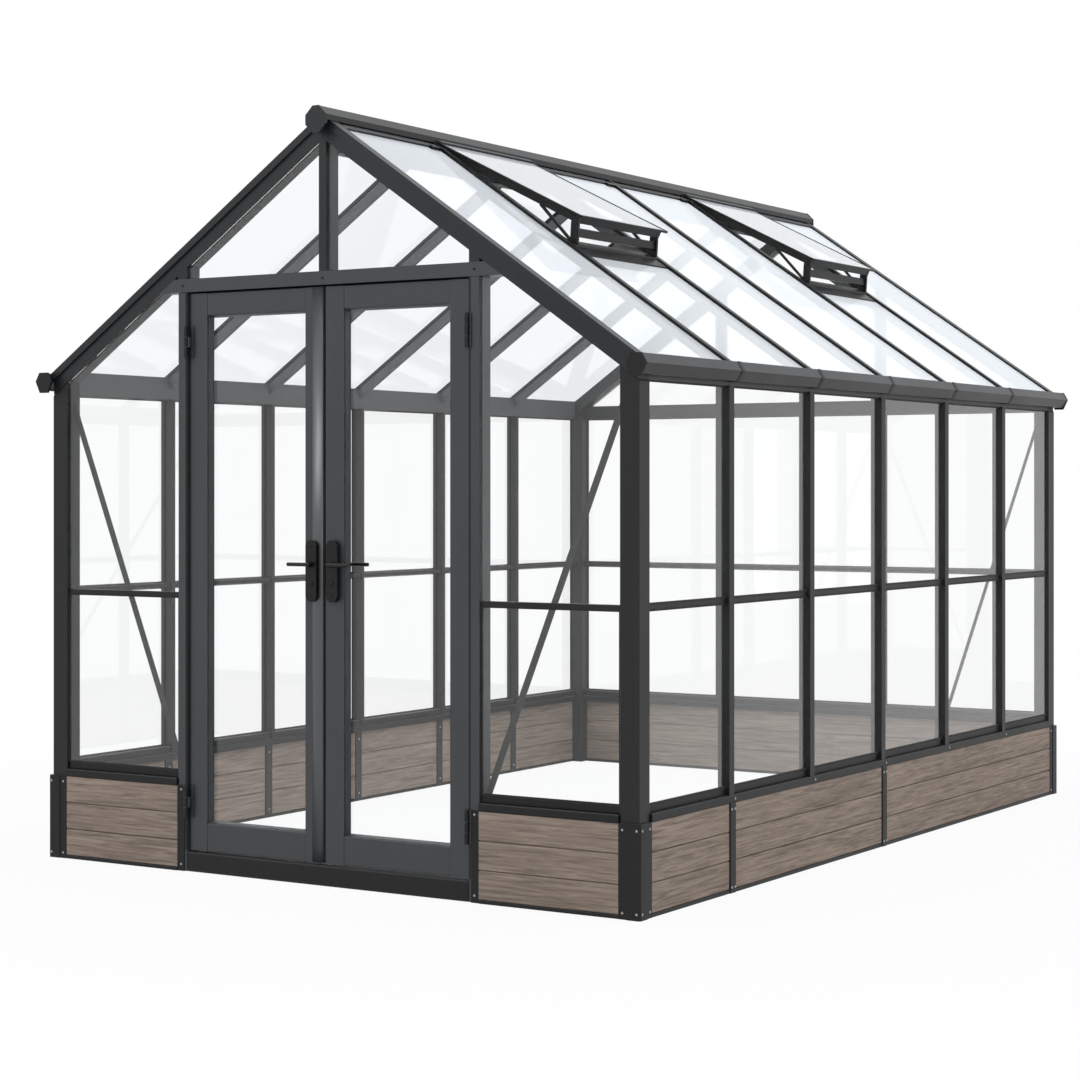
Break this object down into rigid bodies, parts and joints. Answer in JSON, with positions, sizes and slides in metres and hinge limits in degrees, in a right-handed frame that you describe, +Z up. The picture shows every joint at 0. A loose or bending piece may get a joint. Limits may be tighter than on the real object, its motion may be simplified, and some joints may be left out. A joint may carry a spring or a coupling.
{
  "type": "glass greenhouse",
  "caption": "Glass greenhouse with a dark metal frame, board-clad base, glazed gable roof with open roof vents, and glazed double doors with lever handles in one gable.",
  "frame": {"origin": "centre of the footprint at ground level", "axes": "+Z up, -Y out through the doors, +X to the slope with the roof vents"},
  "size_m": [2.538, 3.736, 2.611],
  "materials": {
    "frame": "satin powder coat",
    "door": "satin powder coat",
    "hardware": "matt black",
    "brace": "satin grey",
    "boards": "grained board, grey-brown",
    "glass": "clear float glass"
  },
  "bodies": {
    "house": {"base_panels": "boards", "base_bottom_rails": "frame", "base_corner_covers": "frame", "base_joint_bars": "frame", "sill_rails": "frame", "glazing_rails": "frame", "door_threshold": "frame", "corner_posts": "frame", "side_posts": "frame", "back_posts": "frame", "back_tie_beam": "frame", "door_jambs": "frame", "door_head_rail": "frame", "gable_posts": "frame", "eave_beams": "frame", "gutters": "frame", "gutter_end_caps": "frame", "gable_rafters": "frame", "gable_cappings": "frame", "roof_bars": "frame", "roof_bar_caps": "frame", "ridge_beam": "frame", "ridge_cap": "frame", "ridge_end_caps": "frame", "mid_bars": "frame", "front_braces": "brace", "side_brace": "brace", "front_glass": "glass", "back_glass": "glass", "side_glass": "glass", "roof_glass": "glass", "vent_frames": "frame", "vent_glass": "glass", "vent_sills": "frame", "vent_stays": "frame", "jamb_hinges": "hardware"},
    "left_door": {"left_door_stiles": "door", "left_door_rails": "door", "left_door_glass": "glass", "left_door_hinges": "hardware", "left_handle_plates": "hardware"},
    "right_door": {"right_door_stiles": "door", "right_door_rails": "door", "right_door_glass": "glass", "right_door_hinges": "hardware", "right_handle_plates": "hardware"},
    "left_handle": {"left_lever": "hardware"},
    "right_handle": {"right_lever": "hardware"}
  },
  "joints": [
    {"name": "left_door_hinge", "type": "hinge", "parent": "house", "child": "left_door", "pos_m": [-0.587, -1.838, 1.045], "axis": [0, 0, -1], "range_deg": [0, 110]},
    {"name": "right_door_hinge", "type": "hinge", "parent": "house", "child": "right_door", "pos_m": [0.587, -1.838, 1.045], "axis": [0, 0, 1], "range_deg": [0, 110]},
    {"name": "left_lever_turn", "type": "hinge", "parent": "left_door", "child": "left_handle", "pos_m": [-0.043, -1.8, 1.077], "axis": [0, -1, 0], "range_deg": [0, 40], "stiffness_Nm_per_rad": 1.5, "springref_deg": -17.19},
    {"name": "right_lever_turn", "type": "hinge", "parent": "right_door", "child": "right_handle", "pos_m": [0.043, -1.8, 1.077], "axis": [0, 1, 0], "range_deg": [0, 40], "stiffness_Nm_per_rad": 1.5, "springref_deg": -17.19}
  ]
}
